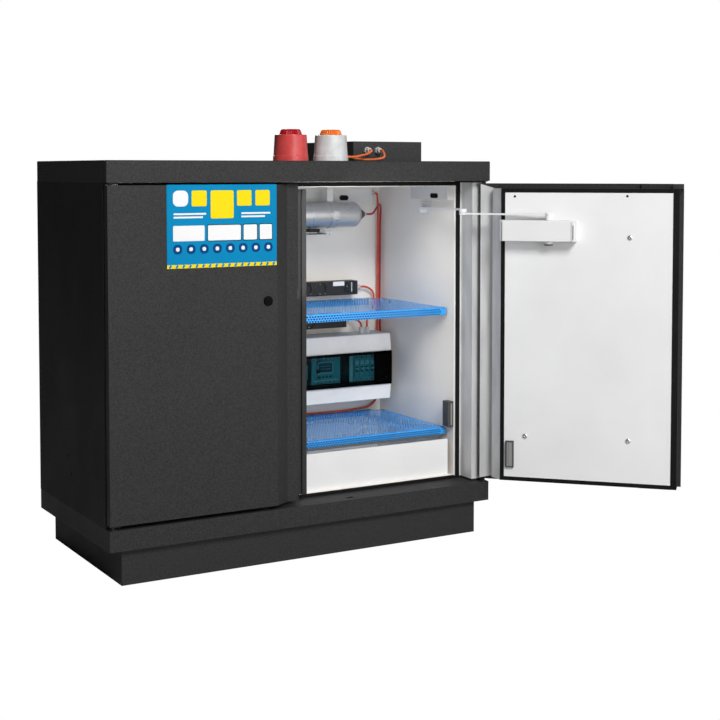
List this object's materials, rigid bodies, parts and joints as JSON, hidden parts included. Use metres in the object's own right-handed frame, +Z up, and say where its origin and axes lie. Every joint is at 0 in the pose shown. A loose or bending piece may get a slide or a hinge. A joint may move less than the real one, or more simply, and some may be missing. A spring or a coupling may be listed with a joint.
{
  "type": "battery storage cabinet",
  "caption": "Fire-resistant underbench cabinet with two hinged doors, perforated shelves, sockets and an extinguisher for storing and charging batteries.",
  "frame": {"origin": "centre of the plinth's underside, on the floor", "axes": "+X to the right seen from the front, +Y to the back, +Z up"},
  "size_m": [1.5701, 1.0284, 1.202],
  "materials": {
    "arm_white": "smooth white paint",
    "beacon_red": "semi-gloss moulded",
    "beacon_white": "semi-gloss moulded",
    "black_frame": "powder coat on board",
    "black_plastic": "fine moulded",
    "blue_shelf": "perforated, blue powder coat",
    "box_grey": "light grey moulded, satin",
    "bush_bronze": "machined",
    "cable_orange": "smooth sheath",
    "cable_red": "smooth sheath",
    "cable_yellow": "smooth sheath",
    "galvanised_core": "galvanised skin on fire board, with a fine spangle",
    "galvanised_steel": "galvanised skin on fire board, with a fine spangle",
    "gland_grey": "moulded polyamide",
    "lens_amber": "clear tinted, ribbed",
    "lens_red": "clear tinted, ribbed",
    "module_teal": "moulded modules",
    "plinth_black": "matt powder coat",
    "seal_black": "matt expanding seal",
    "smoked_window": "smoked teal clear plastic",
    "socket_black": "moulded",
    "stainless": "brushed along the bottle",
    "strap_steel": "zinc plated",
    "strip_black": "satin black anodised",
    "switch_grey": "satin",
    "textured_black": "textured powder coat",
    "textured_black_box": "textured powder coat",
    "white_duct": "smooth white",
    "white_lining": "smooth melamine white",
    "white_paint": "smooth white paint",
    "white_tray": "smooth white powder coat"
  },
  "bodies": {
    "cabinet": {"amber_beacon_lens": "lens_amber", "base_frame": "black_frame", "beacon_cables": "cable_yellow", "bottle_straps": "strap_steel", "breaker_row": "module_teal", "cable_glands": "gland_grey", "cavity_liners": "white_lining", "closer_shoes": "white_paint", "control_box": "textured_black_box", "din_rail": "strap_steel", "distribution_base": "box_grey", "distribution_cover": "box_grey", "door_switches": "switch_grey", "exhaust_duct": "white_duct", "extinguisher": "stainless", "frame_seal": "seal_black", "hinge_bushes": "bush_bronze", "insulated_walls": "galvanised_steel", "lid": "textured_black", "lower_power_strip": "strip_black", "lower_shelf": "blue_shelf", "outer_panels": "textured_black", "plinth_cover": "plinth_black", "plinth_skids": "plinth_black", "power_cables": "cable_orange", "power_sockets": "socket_black", "red_beacon_body": "beacon_red", "red_beacon_lens": "lens_red", "release_head": "black_plastic", "sensor_cable": "cable_red", "shelf_clips": "white_lining", "sump_tray": "white_tray", "supply_vent": "white_duct", "upper_power_strip": "strip_black", "upper_shelf": "blue_shelf", "white_beacon_body": "beacon_white"},
    "left_door": {"left_door_pan": "textured_black", "left_door_core": "galvanised_core", "left_inner_panel": "white_lining", "left_door_seal": "seal_black", "left_closer_body": "white_paint", "left_switch_plate": "switch_grey"},
    "right_door": {"right_door_pan": "textured_black", "right_door_core": "galvanised_core", "right_inner_panel": "white_lining", "right_door_seal": "seal_black", "right_closer_body": "white_paint", "right_switch_plate": "switch_grey"},
    "left_lock": {"left_lock_barrel": "black_plastic"},
    "right_lock": {"right_lock_barrel": "black_plastic"},
    "left_bolt": {"left_bolt_rod": "strap_steel"},
    "right_bolt": {"right_bolt_rod": "strap_steel"},
    "left_arm": {"left_closer_arm": "arm_white"},
    "right_arm": {"right_closer_arm": "arm_white"},
    "left_forearm": {"left_closer_forearm": "arm_white"},
    "right_forearm": {"right_closer_forearm": "arm_white"},
    "box_window": {"distribution_window": "smoked_window"},
    "main_switch": {"main_switch_toggle": "black_plastic"},
    "breaker": {"breaker_toggle": "black_plastic"},
    "rocker": {"strip_rocker": "socket_black"}
  },
  "joints": [
    {"name": "left_door_hinge", "type": "hinge", "parent": "cabinet", "child": "left_door", "pos_m": [-0.5835, -0.278, 0.6], "axis": [0, 0, 1], "range_deg": [-134.4, 0]},
    {"name": "right_door_hinge", "type": "hinge", "parent": "cabinet", "child": "right_door", "pos_m": [0.5835, -0.278, 0.6], "axis": [0, 0, 1], "range_deg": [-134.4, 0]},
    {"name": "left_arm_pivot", "type": "hinge", "parent": "left_door", "child": "left_arm", "pos_m": [-0.3775, -0.178, 0.954], "axis": [0, 0, 1], "range_deg": [0, 116.47]},
    {"name": "left_forearm_pivot", "type": "hinge", "parent": "cabinet", "child": "left_forearm", "pos_m": [-0.5105, -0.047, 0.966], "axis": [0, 0, 1], "range_deg": [-112.82, 0]},
    {"name": "left_lock_turn", "type": "hinge", "parent": "left_door", "child": "left_lock", "pos_m": [-0.1385, -0.29, 0.729], "axis": [0, -1, 0], "range_deg": [0, 90.1]},
    {"name": "left_bolt_slide", "type": "slide", "parent": "left_door", "child": "left_bolt", "axis": [0, 0, -1], "range_m": [0, 0.022]},
    {"name": "right_arm_pivot", "type": "hinge", "parent": "right_door", "child": "right_arm", "pos_m": [0.65618, -0.49515, 0.954], "axis": [0, 0, 1], "range_deg": [0, 116.47]},
    {"name": "right_forearm_pivot", "type": "hinge", "parent": "cabinet", "child": "right_forearm", "pos_m": [0.5105, -0.047, 0.966], "axis": [0, 0, 1], "range_deg": [-112.82, 0]},
    {"name": "right_lock_turn", "type": "hinge", "parent": "right_door", "child": "right_lock", "pos_m": [0.90342, -0.58754, 0.729], "axis": [0.7145, 0.6997, 0], "range_deg": [0, 90.1]},
    {"name": "right_bolt_slide", "type": "slide", "parent": "right_door", "child": "right_bolt", "axis": [0, 0, -1], "range_m": [0, 0.022]},
    {"name": "window_hinge", "type": "hinge", "parent": "cabinet", "child": "box_window", "pos_m": [0.3025, 0.127, 0.5052], "axis": [1, 0, 0], "range_deg": [-100, 0]},
    {"name": "main_switch_turn", "type": "hinge", "parent": "cabinet", "child": "main_switch", "pos_m": [0.18, 0.148, 0.454], "axis": [1, 0, 0], "range_deg": [0, 50]},
    {"name": "breaker_turn", "type": "hinge", "parent": "cabinet", "child": "breaker", "pos_m": [0.25, 0.148, 0.454], "axis": [1, 0, 0], "range_deg": [0, 50]},
    {"name": "rocker_turn", "type": "hinge", "parent": "cabinet", "child": "rocker", "pos_m": [0.3785, 0.19, 0.708], "axis": [1, 0, 0], "range_deg": [-14, 0]}
  ],
  "couplings": [
    {"joint": "left_arm_pivot", "follows": "left_door_hinge", "ratio": -0.86513},
    {"joint": "left_forearm_pivot", "follows": "left_door_hinge", "ratio": 0.83798},
    {"joint": "left_lock_turn", "follows": "left_bolt_slide", "rad_per_m": 71.4},
    {"joint": "right_arm_pivot", "follows": "right_door_hinge", "ratio": -0.86513},
    {"joint": "right_forearm_pivot", "follows": "right_door_hinge", "ratio": 0.83798},
    {"joint": "right_lock_turn", "follows": "right_bolt_slide", "rad_per_m": 71.4}
  ]
}
